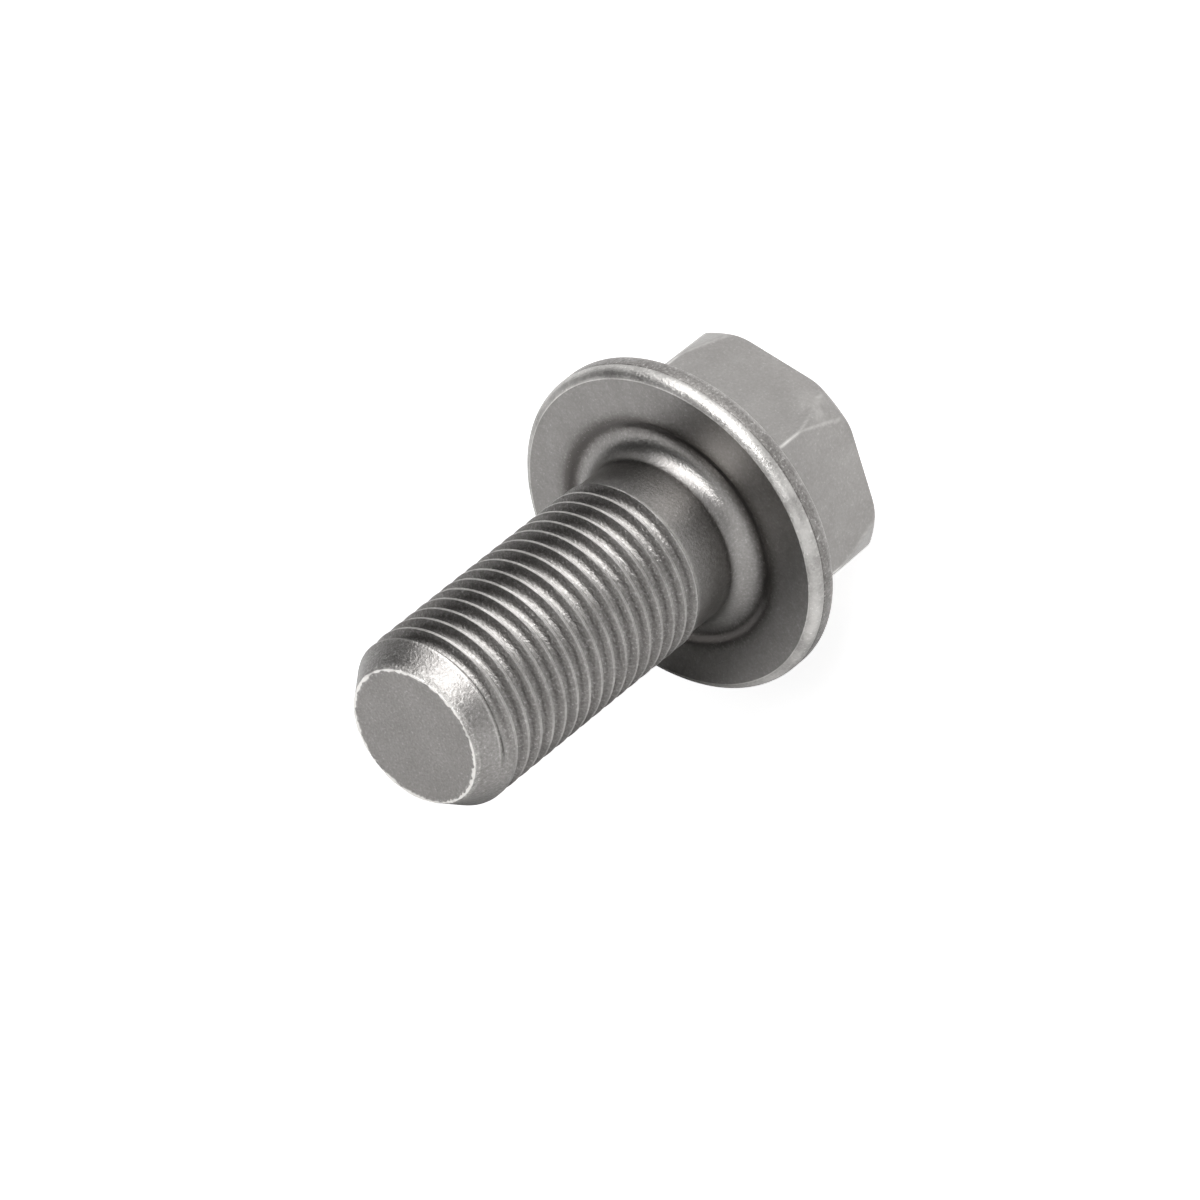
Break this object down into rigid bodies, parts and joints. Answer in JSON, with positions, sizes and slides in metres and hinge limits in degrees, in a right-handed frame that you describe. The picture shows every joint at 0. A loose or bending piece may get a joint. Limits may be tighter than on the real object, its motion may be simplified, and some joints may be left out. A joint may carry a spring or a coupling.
{
  "type": "hex flange bolt",
  "caption": "Short steel hex flange bolt with a fine left-hand thread, a smooth neck and a shallow groove under a thick round flange, standing on its head.",
  "frame": {"origin": "centre of the top face of the head, on which the bolt stands", "axes": "+Z along the bolt's axis, from the head to the tip; +X through a corner of the hexagon"},
  "size_m": [0.019, 0.019, 0.0291],
  "materials": {
    "steel": "bare forged steel with a thin grey phosphate finish, fine sandy grain, thread crests and edges worn bright"
  },
  "bodies": {
    "root": {"bolt": "steel"}
  },
  "joints": []
}
